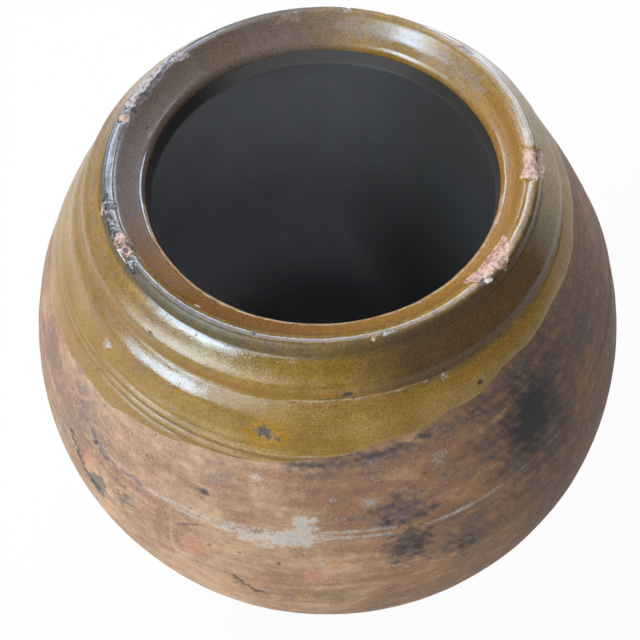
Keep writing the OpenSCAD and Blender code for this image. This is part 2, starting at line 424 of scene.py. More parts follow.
@dataclass
class Wheel:
    """The potter's wheel: a geometry tree that turns an outline and gives it the marks of throwing."""

    front: float = -90.0
    crowding: float = 0.45
    wobble: float = 0.35
    wobble_size: float = 150.0
    ridge: float = 0.22
    ridge_size: float = 7.0
    lump: float = 0.12
    lump_size: float = 11.0
    seed: float = 4.0
    sharp: float = 40.0

    @property
    def settings(self) -> dict[str, float]:
        """The wheel's values by the names of the tree's inputs, in metres and radians."""
        return {"Front": math.radians(self.front), "Crowding": self.crowding, "Wobble": self.wobble * MM,
                "Wobble Size": self.wobble_size * MM, "Ridge": self.ridge * MM,
                "Ridge Size": self.ridge_size * MM, "Lump": self.lump * MM, "Lump Size": self.lump_size * MM,
                "Seed": self.seed, "Sharp Angle": math.radians(self.sharp)}

    @cached_property
    def tree(self) -> bpy.types.GeometryNodeTree:
        """The tree, built once."""
        tree = bpy.data.node_groups.new("Thrown on the wheel", "GeometryNodeTree")
        inputs = (("Outline", "Geometry"), ("Steps Round", "Int"), ("Closed", "Int"),
                  *((name, "Float") for name in self.settings), ("Clay", "Material"))
        for name, kind in inputs:
            tree.interface.new_socket(name, in_out="INPUT", socket_type="NodeSocket" + kind)
        tree.interface.new_socket("Piece", in_out="OUTPUT", socket_type="NodeSocketGeometry")
        node = partial(add, tree)
        given = node("NodeGroupInput").node.outputs
        outline, whole = given["Outline"], "FunctionNodeIntegerMath"
        count = node("GeometryNodeAttributeDomainSize", {0: outline}, "Point Count", component="MESH")
        rows = node(whole, {0: count, 1: given["Closed"]}, operation="ADD")
        columns = node(whole, {0: given["Steps Round"], 1: 1}, operation="ADD")
        grid = node("GeometryNodeMeshGrid", {"Vertices X": columns, "Vertices Y": rows}, "Mesh")
        index = node("GeometryNodeInputIndex")
        turn = node(whole, {0: index, 1: rows}, operation="DIVIDE_FLOOR")
        step = node(whole, {0: index, 1: rows}, operation="MODULO")
        place = node(whole, {0: step, 1: count}, operation="MODULO")
        # Columns stand closer together at the front
        share = node("Math", {0: turn, 1: given["Steps Round"]}, operation="DIVIDE")
        even = node("Math", {0: share, 1: 2 * math.pi}, operation="MULTIPLY")
        wave = node("Math", {0: even}, operation="SINE")
        crowd = node("Math", {0: wave, 1: given["Crowding"]}, operation="MULTIPLY")
        ahead = node("Math", {0: even, 1: crowd}, operation="SUBTRACT")
        angle = node("Math", {0: ahead, 1: given["Front"]}, operation="ADD")
        kinds = {"position": "FLOAT_VECTOR", "out": "FLOAT_VECTOR", "drop": "FLOAT", "share": "FLOAT"}
        taken = {}
        for label, kind in kinds.items():
            if label == "position":
                source = node("GeometryNodeInputPosition")
            else:
                source = node("GeometryNodeInputNamedAttribute", {"Name": label}, "Attribute", data_type=kind)
            picked = node("GeometryNodeSampleIndex", {"Geometry": outline, "Value": source, "Index": place},
                          "Value", data_type=kind, domain="POINT")
            if kind == "FLOAT_VECTOR":
                picked = node("VectorRotate", {"Vector": picked, "Angle": angle}, rotation_type="Z_AXIS")
            taken[label] = picked
        moved = None
        for depth, stretch in (("Wobble", 1.0), ("Ridge", 0.06), ("Lump", 1.0)):
            squeeze = (stretch, stretch, 1.0)
            flat = node("VectorMath", {0: taken["position"], 1: squeeze}, operation="MULTIPLY")
            scale = node("Math", {0: 1.0, 1: given[depth + " Size"]}, operation="DIVIDE")
            noise = node("TexNoise", {"Vector": flat, "W": given["Seed"], "Scale": scale, "Detail": 1.5},
                         noise_dimensions="4D")
            middle = node("Math", {0: noise, 1: 0.5}, operation="SUBTRACT")
            twice = node("Math", {0: middle, 1: 4.0}, operation="MULTIPLY")
            move = node("Math", {0: twice, 1: given[depth]}, operation="MULTIPLY")
            moved = move if moved is None else node("Math", {0: moved, 1: move}, operation="ADD")
        shared = node("Math", {0: moved, 1: taken["share"]}, operation="MULTIPLY")
        offset = node("VectorMath", {0: taken["out"], "Scale": shared}, operation="SCALE")
        flow = node("GeometryNodeSetPosition",
                    {"Geometry": grid, "Position": taken["position"], "Offset": offset})
        for label in ("out", "drop", "share"):
            flow = node("GeometryNodeStoreNamedAttribute",
                        {"Geometry": flow, "Value": taken[label], "Name": label},
                        data_type=kinds[label], domain="POINT")
        flow = node("GeometryNodeMergeByDistance", {"Geometry": flow, "Distance": 1e-6})
        flow = node("GeometryNodeSetShadeSmooth", {"Geometry": flow}, domain="FACE")
        bent = node("GeometryNodeInputMeshEdgeAngle")
        edge = node("FunctionNodeCompare", {0: bent, 1: given["Sharp Angle"]}, data_type="FLOAT",
                    operation="GREATER_THAN")
        flow = node("GeometryNodeSetShadeSmooth",
                    {"Geometry": flow, "Selection": edge, "Shade Smooth": False}, domain="EDGE")
        flow = node("GeometryNodeRealizeInstances", {"Geometry": flow})
        flow = node("GeometryNodeSetMaterial", {"Geometry": flow, "Material": given["Clay"]})
        node("NodeGroupOutput", {"Piece": flow})
        return tree

    def throw(self, outline: Outline, name: str, steps: int, closed: bool,
              finish: bpy.types.Material) -> bpy.types.Object:
        """Turn an outline into a piece with a plain mesh.

        Args:
            outline: the piece's outline.
            name: name of the piece.
            steps: number of columns round the jar.
            closed: whether the outline closes on itself; one that starts and ends on the axis doesn't.
            finish: the piece's material.
        Returns:
            The piece, with the attributes out, drop and share on its points.
        """
        piece = outline.row(name)
        turned = piece.modifiers.new("wheel", "NODES")
        turned.node_group = self.tree
        given = {"Steps Round": steps, "Closed": int(closed), **self.settings, "Clay": finish}
        for item in self.tree.interface.items_tree:
            if item.name in given:
                turned[item.identifier] = given[item.name]
        graph = bpy.context.evaluated_depsgraph_get()
        mesh = bpy.data.meshes.new_from_object(piece.evaluated_get(graph), preserve_all_data_layers=True,
                                               depsgraph=graph)
        rough = piece.data
        piece.modifiers.clear()
        piece.data = mesh
        mesh.name = name
        bpy.data.meshes.remove(rough)
        return piece


@dataclass(frozen=True)
class Mark:
    """An oval mark on the skin: its place, its half sizes in mm, its turn in degrees and its strength."""

    stain: Stain
    angle: float
    drop: float
    wide: float
    tall: float
    turn: float = 0.0
    strength: float = 1.0
    ragged: float = 0.25
    dent: float = 0.0


@dataclass(frozen=True)
class Stroke:
    """A mark drawn along a line of (angle, drop) points, with its half width in mm."""

    stain: Stain
    path: tuple[tuple[float, float], ...]
    wide: float
    strength: float = 1.0
    ragged: float = 0.25
    dent: float = 0.0


@dataclass(frozen=True)
class Patch:
    """A mark with corners at (angle, drop), and the width in mm over which it fades in from its edge."""

    stain: Stain
    corners: tuple[tuple[float, float], ...]
    fade: float = 2.0
    strength: float = 1.0
    ragged: float = 0.25
    dent: float = 0.0


@dataclass
class Surface:
    """A piece's points read into arrays, for work on its relief and its marks."""

    piece: bpy.types.Object
    # Depths in mm of what tools and hands left, and half the throat's shift
    ring_cut: float = 0.25
    ring_lip: float = 0.1
    groove_cut: float = 0.7
    swell: float = 1.05
    roll_cut: float = 1.4
    cove_fill: float = 0.45
    crest_wear: float = 0.3
    throat_shift: float = 1.4

    def __post_init__(self) -> None:
        """Read the points and what the wheel left on them."""
        mesh = self.piece.data
        n = len(mesh.vertices)
        flat = np.empty(3 * n, dtype=np.float32)
        mesh.vertices.foreach_get("co", flat)
        self.place = flat.reshape(n, 3).astype(float) / MM
        mesh.attributes["out"].data.foreach_get("vector", flat)
        self.out = flat.reshape(n, 3).astype(float)
        self.drop, self.share = np.empty(n, dtype=np.float32), np.empty(n, dtype=np.float32)
        mesh.attributes["drop"].data.foreach_get("value", self.drop)
        mesh.attributes["share"].data.foreach_get("value", self.share)
        self.angle = np.degrees(np.arctan2(self.place[:, 1], self.place[:, 0]))
        self.radius = np.hypot(self.place[:, 0], self.place[:, 1])
        self.rest = self.place.copy()
        self.edge = Lumps(5.0, 11).at(self.rest) * 0.6 + Lumps(2.2, 12).at(self.rest) * 0.4
        self.stains: dict[Stain, np.ndarray] = {}

    def facing(self, heading: float) -> np.ndarray:
        """How much each point faces a heading in degrees: 1 straight at it, -1 straight away."""
        return np.cos(np.radians(self.angle - heading))

    def step(self, low: float, high: float) -> np.ndarray:
        """Smooth step along the skin, from 0 at distance low to 1 at high."""
        return smooth(low, high, self.drop)

    def near(self, drop: float, spread: float) -> np.ndarray:
        """How near each point is to a distance down the skin: 1 on it, fading over spread mm."""
        return np.exp(-((self.drop - drop) / spread) ** 2)

    def flat(self, angle: float, drop: float) -> tuple[np.ndarray, np.ndarray]:
        """Distances in mm round the jar and down the skin from a place on it."""
        turned = (self.angle - angle + 180.0) % 360.0 - 180.0
        return np.radians(turned) * self.radius, self.drop - drop

    def reach(self, mark: Mark | Stroke | Patch) -> np.ndarray:
        """How far each point is inside a mark: 1 on its middle, 0 on its edge, negative outside."""
        if isinstance(mark, Mark):
            u, v = self.flat(mark.angle, mark.drop)
            c, s = math.cos(math.radians(mark.turn)), math.sin(math.radians(mark.turn))
            away = np.hypot((c * u + s * v) / mark.wide, (c * v - s * u) / mark.tall)
            return 1.0 - away + mark.ragged * self.edge
        closed = isinstance(mark, Patch)
        line = (*mark.corners, mark.corners[0]) if closed else mark.path
        away, inside = np.full(len(self.drop), 1e3), np.zeros(len(self.drop), dtype=bool)
        start = self.flat(line[0][0], 0.0)[0]
        for (a0, d0), (a1, d1) in zip(line[:-1], line[1:]):
            u, v = start - math.radians(a0 - line[0][0]) * self.radius, self.drop - d0
            du, dv = math.radians(a1 - a0) * self.radius, d1 - d0
            t = np.clip((u * du + v * dv) / (du * du + dv * dv + 1e-9), 0.0, 1.0)
            away = np.minimum(away, np.hypot(u - t * du, v - t * dv))
            if dv:
                inside ^= ((v < 0) != (v < dv)) & (u < du * v / dv)
        if closed:
            return np.where(inside, away, -away) / mark.fade + mark.ragged * self.edge
        return 1.0 - away / mark.wide + mark.ragged * self.edge

    def stamp(self, marks: list[Mark | Stroke | Patch]) -> None:
        """Lay marks on the surface, each stain keeping the strongest."""
        for mark in marks:
            inside = self.reach(mark)
            value = mark.strength * np.clip(inside, -0.5, 1.0)
            known = self.stains.get(mark.stain, np.full(len(value), -0.5))
            self.stains[mark.stain] = np.maximum(known, value)
            if mark.dent:
                self.press(mark.dent * np.sqrt(np.clip(inside * 1.6, 0.0, 1.0)))

    def press(self, depth: np.ndarray) -> None:
        """Press the skin in by depths in mm."""
        self.place -= self.out * (depth * (self.share > 0))[:, None]

    def relief(self) -> None:
        """Press in the rings on the shoulder, the groove under the collar and what hands left."""
        wander = Lumps(90.0, 21).at(self.rest) * 0.35
        pressed = 0.04 + 0.96 * smooth(0.45, 0.97, self.facing(-108))
        ridge, valley = np.zeros(len(self.drop)), np.zeros(len(self.drop))
        for z, share in zip(FORM.ring_heights, (0.5, 1.0, 0.9)):
            away = np.abs(self.drop - FORM.drop(z) + wander)
            furrow, lips = np.exp(-(away / 0.9) ** 2), np.exp(-((away - 2.4) / 1.0) ** 2)
            self.press(share * pressed * (self.ring_cut * furrow - self.ring_lip * lips))
            ridge = np.maximum(ridge, share * np.exp(-((away - 2.3) / 0.8) ** 2))
            valley = np.maximum(valley, share * np.exp(-(away / 1.0) ** 2))
        self.stains[Stain.PALE] = 0.7 * ridge * pressed - 0.45
        self.stains[Stain.FURROW] = valley * pressed - 0.4
        groove = FORM.drop(FORM.groove_z)
        deep = 0.1 + 0.9 * smooth(0.6, 0.92, self.facing(-62))
        self.press(self.groove_cut * deep * np.clip(1 - np.abs(self.drop - groove + wander) / 1.1, 0.0, 1.0))
        # The potter's fingers left a low swell under the groove
        self.press(-self.swell * smooth(-0.2, 0.6, self.facing(-118)) * self.near(groove + 9.5, 5.5))
        # The collar was wiped smooth at the right, where its roll is lower and its cove shallower
        wiped = smooth(0.5, 0.9, self.facing(-22))
        self.press(wiped * (self.roll_cut * self.near(19.0, 5.0) - self.cove_fill * self.near(9.4, 2.6)))
        # Hands wore the crest flat at the left
        self.press(self.crest_wear * smooth(0.78, 0.96, self.facing(174)) * self.near(0.6, 2.0))
        self.widen()

    def widen(self) -> None:
        """Draw the throat out to the right by twice its shift, since the thrown mouth isn't quite true."""
        share = self.step(-4.0, -14.0) * self.step(-80.0, -45.0) * (np.abs(self.drop) < FAR - 1)
        along = self.facing(0)
        grow = self.throat_shift * (along ** 2 + along) * share / np.maximum(self.radius, 1.0)
        self.place[:, :2] *= 1.0 + grow[:, None]

    def write(self, **values: np.ndarray) -> None:
        """Put the points back and leave the stains as attributes.

        Args:
            values: further attributes by name, one value a point.
        """
        mesh = self.piece.data
        mesh.vertices.foreach_set("co", (self.place * MM).astype(np.float32).ravel())
        for label in ("out", "drop", "share"):
            mesh.attributes.remove(mesh.attributes[label])
        layers = {stain.value: value for stain, value in self.stains.items()} | values
        for label, value in layers.items():
            layer = mesh.attributes.new(label, "FLOAT", "POINT")
            layer.data.foreach_set("value", value.astype(np.float32))
        mesh.update()


class Finish:
    """A surface finish, which builds its own nodes."""

    def material(self, name: str) -> bpy.types.Material:
        """Make the finish's material.

        Args:
            name: name of the material.
        Returns:
            The material.
        """
        finish = bpy.data.materials.new(name)
        finish.use_nodes = True
        tree = finish.node_tree
        tree.nodes.clear()
        add(tree, "OutputMaterial", {"Surface": self.surface(tree)})
        return finish

    def surface(self, tree: bpy.types.NodeTree) -> bpy.types.NodeSocket:
        """Build the nodes and hand back the shader; each finish has its own."""
        raise NotImplementedError

    @staticmethod
    def broken(tree: bpy.types.NodeTree, label: str, noises: tuple[tuple, ...]) -> bpy.types.NodeSocket:
        """Read an attribute and break it up with noises.

        Args:
            tree: node tree of the finish.
            label: name of the attribute.
            noises: noise sockets, each with its weight.
        Returns:
            The broken value.
        """
        amount = add(tree, "Attribute", out="Fac", attribute_name=label)
        for noise, weight in noises:
            centred = add(tree, "Math", {0: noise, 1: 0.5}, operation="SUBTRACT")
            amount = add(tree, "Math", {0: centred, 1: weight, 2: amount}, operation="MULTIPLY_ADD")
        return amount

    def wash(self, tree: bpy.types.NodeTree, colour: bpy.types.NodeSocket, stains: tuple[tuple, ...],
             noises: tuple[tuple, ...]) -> bpy.types.NodeSocket:
        """Lay stains over a colour.

        Args:
            tree: node tree of the finish.
            colour: the ground's colour.
            stains: attribute, tint, values at which it starts and is full, break-up of its edge and cover.
            noises: noise sockets that break up the edges, each with its weight.
        Returns:
            The stained colour.
        """
        for label, tint, start, full, break_up, cover in stains:
            amount = self.broken(tree, label, tuple((noise, break_up * share) for noise, share in noises))
            mask = add(tree, "MapRange",
                       {"Value": amount, "From Min": start, "From Max": full, "To Max": cover})
            colour = add(tree, "Mix", {0: mask, 6: colour, 7: to_linear(tint)}, 2, data_type="RGBA")
        return colour


@dataclass(frozen=True)
class Terracotta(Finish):
    """Thrown earthenware, fired unglazed: dry pink-tan clay, browner where fire and hands darkened it and
    where painted shade darkens the side away from the window.
    """

    light: str = "#bf9873"
    warm: str = "#946b48"
    dark: str = "#6d503f"
    dusk: str = "#54474a"
    soot: str = "#262322"
    lime: str = "#c2bcb2"
    flake: str = "#c08260"
    moss: str = "#55523f"
    pale: str = "#cbb096"

    def surface(self, tree: bpy.types.NodeTree) -> bpy.types.NodeSocket:
        """Build the clay's nodes and hand back the shader."""
        node = partial(add, tree)
        place = node("TexCoord", out="Object")
        drawn = node("VectorMath", {0: place, 1: (0.09, 0.09, 1.0)}, operation="MULTIPLY")
        # Source, size in mm, detail and roughness of clouds, mottling, grog and streaks. The grog is about
        # half a millimetre, drawn at 1.3 mm so that it shows
        fields = ((place, 42, 4.0, 0.5), (place, 8, 5.0, 0.62), (place, 1.3, 3.0, 0.7),
                  (drawn, 4.5, 3.0, 0.5))
        cloud, mottle, grain, streak = (
            node("TexNoise", {"Vector": source, "Scale": per_mm(size), "Detail": detail, "Roughness": rough})
            for source, size, detail, rough in fields)
        shade = self.broken(tree, "tone", ((cloud, 1.1), (mottle, 1.2), (streak, 0.8)))
        colour = to_linear(self.light)
        for start, full, tint in ((0.0, 0.5, self.warm), (0.5, 1.0, self.dark)):
            share = node("MapRange", {"Value": shade, "From Min": start, "From Max": full})
            colour = node("Mix", {0: share, 6: colour, 7: to_linear(tint)}, 2, data_type="RGBA")
        stains = (("pale", self.pale, 0.1, 0.9, 0.5, 0.55), ("dusk", self.dusk, 0.0, 0.9, 0.7, 0.75),
                  ("moss", self.moss, 0.0, 0.9, 0.9, 0.8), ("flake", self.flake, 0.0, 0.5, 0.6, 0.7),
                  ("lime", self.lime, 0.0, 0.9, 1.9, 0.75), ("soot", self.soot, 0.0, 0.8, 0.8, 0.95))
        colour = self.wash(tree, colour, stains, ((mottle, 1.0), (grain, 0.7)))
        speckle = node("MapRange", {"Value": grain, "From Min": 0.25, "From Max": 0.75, "To Min": 0.78,
                                    "To Max": 1.2})
        pits = node("TexVoronoi", {"Vector": place, "Scale": per_mm(7.5)}, "Distance")
        deep = node("MapRange", {"Value": pits, "From Min": 0.05, "From Max": 0.11, "To Min": 0.35,
                                 "To Max": 1.0})
        for shadow in (speckle, deep):
            colour = node("VectorMath", {0: colour, "Scale": shadow}, operation="SCALE")
        height = node("Math", {0: mottle, 1: 0.6, 2: grain}, operation="MULTIPLY_ADD")
        height = node("Math", {0: streak, 1: 0.5, 2: height}, operation="MULTIPLY_ADD")
        bump = node("Bump", {"Height": height, "Distance": 0.35 * MM, "Strength": 0.8})
        dull = node("MapRange", {"Value": mottle, "To Min": 0.55, "To Max": 0.85})
        return node("BsdfPrincipled", {"Base Color": colour, "Roughness": dull, "Normal": bump, "IOR": 1.45})


@dataclass(frozen=True)
class OliveGlaze(Finish):
    """Lead glaze over red clay, dipped and fired: olive where even, amber in pools and as painted shade down
    the left flank, brown where thin.
    """

    olive: str = "#8d6e26"
    straw: str = "#a58344"
    amber: str = "#8f651f"
    honey: str = "#9a6f33"
    umber: str = "#73655e"
    brown: str = "#4d3926"
    toast: str = "#795524"
    russet: str = "#7d5230"
    furrow: str = "#735231"
    pinhole: str = "#30230f"
    chip: str = "#d2aa97"
    chip_dark: str = "#96705d"
    worn: str = "#b4aca8"
    worn_dark: str = "#7b6b60"
    char: str = "#2b2725"
    char_glint: str = "#b9b7b8"
    pit: str = "#3a2f29"
    pit_grey: str = "#574d45"
    buff: str = "#95806c"
    glint: str = "#dcdcdc"
    halo: str = "#a27814"
    slate: str = "#4b483c"
    ridge: str = "#cdb496"
    dust_and_sheen: str = "#bcae98"

    def surface(self, tree: bpy.types.NodeTree) -> bpy.types.NodeSocket:
        """Build the glaze's nodes and hand back the shader."""
        node = partial(add, tree)
        place = node("TexCoord", out="Object")
        hanging = node("VectorMath", {0: place, 1: (1.0, 1.0, 0.16)}, operation="MULTIPLY")
        # Source, size in mm, detail and roughness of clouds, mottling, boiled-out bubbles, runs, thin places
        # and broken grain. The bubbles are a few tenths of a millimetre, drawn at 0.9 mm so that they show
        fields = ((place, 26, 4.0, 0.5), (place, 5, 5.0, 0.6), (place, 0.9, 2.0, 0.5), (hanging, 9, 3.0, 0.5),
                  (hanging, 13, 5.0, 0.6), (place, 2.2, 3.0, 0.65))
        cloud, mottle, grain, runs, thin, coarse = (
            node("TexNoise", {"Vector": source, "Scale": per_mm(size), "Detail": detail, "Roughness": rough})
            for source, size, detail, rough in fields)
        tone = node("Math", {0: runs, 1: 0.6, 2: cloud}, operation="MULTIPLY_ADD")
        tone = node("MapRange", {"Value": tone, "From Min": 0.6, "From Max": 1.0})
        # The red clay shows through where the coat is thin
        thin = node("MapRange", {"Value": thin, "From Min": 0.5, "From Max": 0.72, "To Max": 0.5})
        colour = to_linear(self.olive)
        for share, tint in ((tone, self.straw), (thin, self.toast)):
            colour = node("Mix", {0: share, 6: colour, 7: to_linear(tint)}, 2, data_type="RGBA")
        washes = (("amber", self.amber, 0.1, 0.9, 0.9, 0.9), ("honey", self.honey, 0.1, 0.9, 0.9, 0.9),
                  ("russet", self.russet, 0.1, 0.9, 0.9, 0.85), ("umber", self.umber, 0.1, 0.9, 0.8, 0.9),
                  ("brown", self.brown, 0.1, 0.9, 0.8, 0.85), ("dust_and_sheen", self.dust_and_sheen, 0.0, 1.0, 0.3, 0.8),
                  ("slate", self.slate, 0.1, 0.9, 0.8, 0.85), ("furrow", self.furrow, 0.0, 0.5, 0.6, 0.7),
                  ("pale", self.ridge, 0.0, 0.5, 0.6, 0.85), ("halo", self.halo, 0.0, 0.5, 0.5, 0.9),
                  ("buff", self.buff, 0.0, 0.3, 0.6, 0.8))
        colour = self.wash(tree, colour, washes, ((mottle, 1.0),))
        speckle = node("MapRange", {"Value": grain, "From Min": 0.32, "From Max": 0.68, "To Min": 0.68,
                                    "To Max": 1.25})
        colour = node("VectorMath", {0: colour, "Scale": speckle}, operation="SCALE")
        holes = node("TexVoronoi", {"Vector": place, "Scale": per_mm(2.1)}, "Distance")
        hole = node("MapRange", {"Value": holes, "From Min": 0.05, "From Max": 0.18, "To Min": 0.7,
                                 "To Max": 0.0})
        crowded = node("MapRange", {"Value": mottle, "From Min": 0.42, "From Max": 0.58})
        hole = node("Math", {0: hole, 1: crowded}, operation="MULTIPLY")
        colour = node("Mix", {0: hole, 6: colour, 7: to_linear(self.pinhole)}, 2, data_type="RGBA")
        rough_now = node("MapRange", {"Value": mottle, "From Min": 0.3, "From Max": 0.7, "To Min": 0.07,
                                      "To Max": 0.14})
        rubbed = node("Attribute", out="Fac", attribute_name="dull")
        rough_now = node("Mix", {0: rubbed, 2: rough_now, 3: 0.55}, data_type="FLOAT")
        sheen = node("MapRange", {"Value": rubbed, "To Min": 0.5, "To Max": 0.08})
        # Broken places are never one colour: pits and dirt darken them in grains of one to three millimetres
        pitted = node("MapRange", {"Value": coarse, "From Min": 0.4, "From Max": 0.58})
        burnt = node("MapRange", {"Value": coarse, "From Min": 0.5, "From Max": 0.68})
        # Attribute, grain, its two tints, value at which it is full, break-up of its edge and roughness
        breaks = (("bare", pitted, self.chip_dark, self.chip, 0.08, 0.6, 0.8),
                  ("worn", pitted, self.worn_dark, self.worn, 0.15, 0.9, 0.8),
                  ("char", burnt, self.char, self.char_glint, 0.12, 0.9, 0.45),
                  ("pit", pitted, self.pit, self.pit_grey, 0.25, 0.7, 0.8),
                  ("glint", pitted, self.glint, self.glint, 0.25, 0.6, 0.2))
        sunk = hole
        for label, share, low, high, full, break_up, dull in breaks:
            tint = node("Mix", {0: share, 6: to_linear(low), 7: to_linear(high)}, 2, data_type="RGBA")
            amount = self.broken(tree, label, ((grain, break_up), (coarse, break_up * 1.6)))
            mask = node("MapRange", {"Value": amount, "From Max": full})
            colour = node("Mix", {0: mask, 6: colour, 7: tint}, 2, data_type="RGBA")
            rough_now = node("Mix", {0: mask, 2: rough_now, 3: dull}, data_type="FLOAT")
            sunk = node("Math", {0: mask, 1: 1.5, 2: sunk}, operation="MULTIPLY_ADD")
        # Dull places are boiled, so their grain stands higher
        boil = node("Math", {0: rubbed, 1: 0.9, 2: 0.5}, operation="MULTIPLY_ADD")
        height = node("Math", {0: grain, 1: boil}, operation="MULTIPLY")
        for relief, weight in ((mottle, 0.55), (coarse, 0.35), (sunk, -0.8)):
            height = node("Math", {0: relief, 1: weight, 2: height}, operation="MULTIPLY_ADD")
        # The turn into the throat was wiped smooth, so its highlights are crisp
        wiped = node("Attribute", out="Fac", attribute_name="gloss")
        uneven = node("MapRange", {"Value": wiped, "To Min": 0.8, "To Max": 0.25})
        bump = node("Bump", {"Height": height, "Distance": 0.16 * MM, "Strength": uneven})
        return node("BsdfPrincipled", {"Base Color": colour, "Roughness": rough_now, "IOR": 1.52,
                                       "Specular IOR Level": sheen, "Normal": bump})


@dataclass(frozen=True)
class LinerGlaze(Finish):
    """Thin glaze swilled round the inside: pale grey satin with wide bands, darkened by painted shade in the
    throat, down one side and on the floor, and darker on the throat's sides.
    """

    grey: str = "#b3b4b6"
    pale: str = "#c1c2c4"
    smoke: str = "#4c4a47"
    throat_dark_brown: str = "#2b2725"
    throat_dark_honey: str = "#34291c"

    def surface(self, tree: bpy.types.NodeTree) -> bpy.types.NodeSocket:
        """Build the liner's nodes and hand back the shader."""
        node = partial(add, tree)
        place = node("TexCoord", out="Object")
        drawn = node("VectorMath", {0: place, 1: (0.15, 0.15, 1.0)}, operation="MULTIPLY")
        bands = node("TexNoise", {"Vector": drawn, "Scale": per_mm(9), "Detail": 3.0})
        cloud = node("TexNoise", {"Vector": place, "Scale": per_mm(30), "Detail": 4.0})
        both = node("Math", {0: bands, 1: 0.5, 2: cloud}, operation="MULTIPLY_ADD")
        tone = node("MapRange", {"Value": both, "From Min": 0.5, "From Max": 1.0})
        shaded_liner, warm, throat_dark = (node("Attribute", out="Fac", attribute_name=label)
                                 for label in ("smoke", "warm", "run"))
        # The throat's sides are darker, browner at the right
        browns = {6: to_linear(self.throat_dark_brown), 7: to_linear(self.throat_dark_honey)}
        run = node("Mix", {0: warm, **browns}, 2, data_type="RGBA")
        colour = to_linear(self.grey)
        for share, tint in ((tone, to_linear(self.pale)), (shaded_liner, to_linear(self.smoke)), (throat_dark, run)):
            colour = node("Mix", {0: share, 6: colour, 7: tint}, 2, data_type="RGBA")
        dull = node("MapRange", {"Value": cloud, "To Min": 0.5, "To Max": 0.75})
        dull = node("Mix", {0: throat_dark, 2: dull, 3: 0.5}, data_type="FLOAT")
        bump = node("Bump", {"Height": both, "Distance": 0.4 * MM, "Strength": 0.5})
        return node("BsdfPrincipled", {"Base Color": colour, "Roughness": dull, "Normal": bump, "IOR": 1.5})


@dataclass(frozen=True)
class PaperFloor(Finish):
    """Studio paper: white to the eye with a faint shadow of the jar, and plain paper to other light."""

    paper: str = "#e6e6e4"
    shadow_share: float = 0.07

    def surface(self, tree: bpy.types.NodeTree) -> bpy.types.NodeSocket:
        """Build the paper's nodes and hand back the shader."""
        node = partial(add, tree)
        path = node("LightPath").node.outputs
        lit = node("BsdfDiffuse", {"Color": to_linear(self.paper)})
        white = node("Emission", {"Color": (1.0, 1.0, 1.0, 1.0), "Strength": 1.0})
        seen = node("MixShader", {0: self.shadow_share, 1: white, 2: lit})
        rays = path["Is Camera Ray"]
        for other in ("Is Glossy Ray", "Is Transmission Ray"):
            rays = node("Math", {0: rays, 1: path[other]}, operation="MAXIMUM")
        return node("MixShader", {0: rays, 1: lit, 2: seen})


def marks(shape: type, table: dict[Stain, tuple]) -> list[Mark | Stroke | Patch]:
    """Make marks of one shape from rows of their values by stain."""
    return [shape(stain, *row) for stain, rows in table.items() for row in rows]


